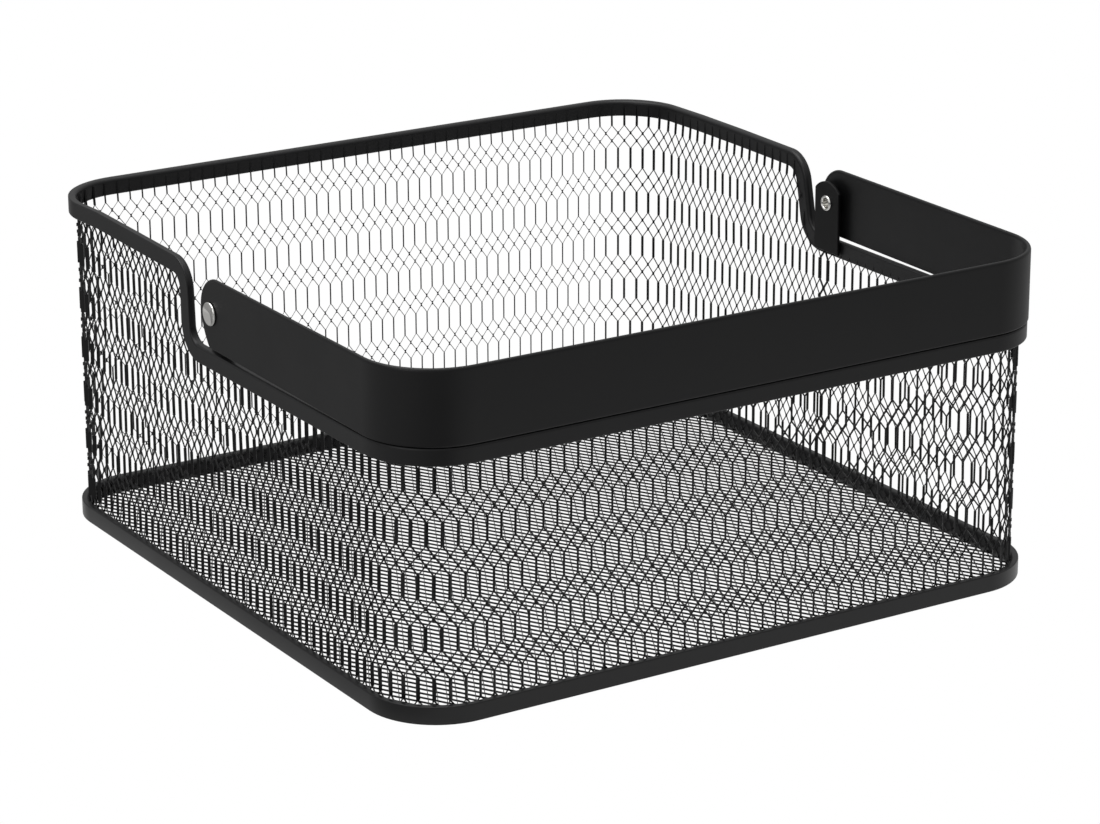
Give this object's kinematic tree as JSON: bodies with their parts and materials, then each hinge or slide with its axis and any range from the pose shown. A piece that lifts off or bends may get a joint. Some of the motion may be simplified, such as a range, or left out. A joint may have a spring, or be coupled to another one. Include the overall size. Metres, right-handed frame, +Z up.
{
  "type": "wire locker basket",
  "caption": "Square wire mesh basket with a rim that steps down to a low front, and a strap handle that folds round the low front and swings up on riveted pivots.",
  "frame": {"origin": "middle of the basket's footprint, on the floor under the base band", "axes": "+Z up; +Y to the high back; -Y to the low front that the folded handle goes round; +X to the right seen from the front"},
  "size_m": [0.303, 0.3004, 0.1404],
  "materials": {
    "black_steel": "satin black powder coat on steel",
    "handle_steel": "satin black powder coat on strap steel",
    "bare_steel": "bare bright steel"
  },
  "bodies": {
    "basket": {"top_rim": "black_steel", "base_band": "black_steel", "floor_mesh": "black_steel", "wall_mesh_back": "black_steel", "wall_mesh_front": "black_steel", "wall_mesh_right_front": "black_steel", "wall_mesh_right_rear": "black_steel", "wall_mesh_left_front": "black_steel", "wall_mesh_left_rear": "black_steel", "corner_mesh_back_right": "black_steel", "corner_mesh_front_right": "black_steel", "corner_mesh_back_left": "black_steel", "corner_mesh_front_left": "black_steel", "right_tab": "black_steel", "left_tab": "black_steel", "right_spacer": "black_steel", "left_spacer": "black_steel", "right_rivet": "bare_steel", "left_rivet": "bare_steel"},
    "handle": {"handle": "handle_steel"}
  },
  "joints": [
    {"name": "handle_swing", "type": "hinge", "parent": "basket", "child": "handle", "pos_m": [0, -0.001, 0.124], "axis": [-1, 0, 0], "range_deg": [0, 110]}
  ]
}
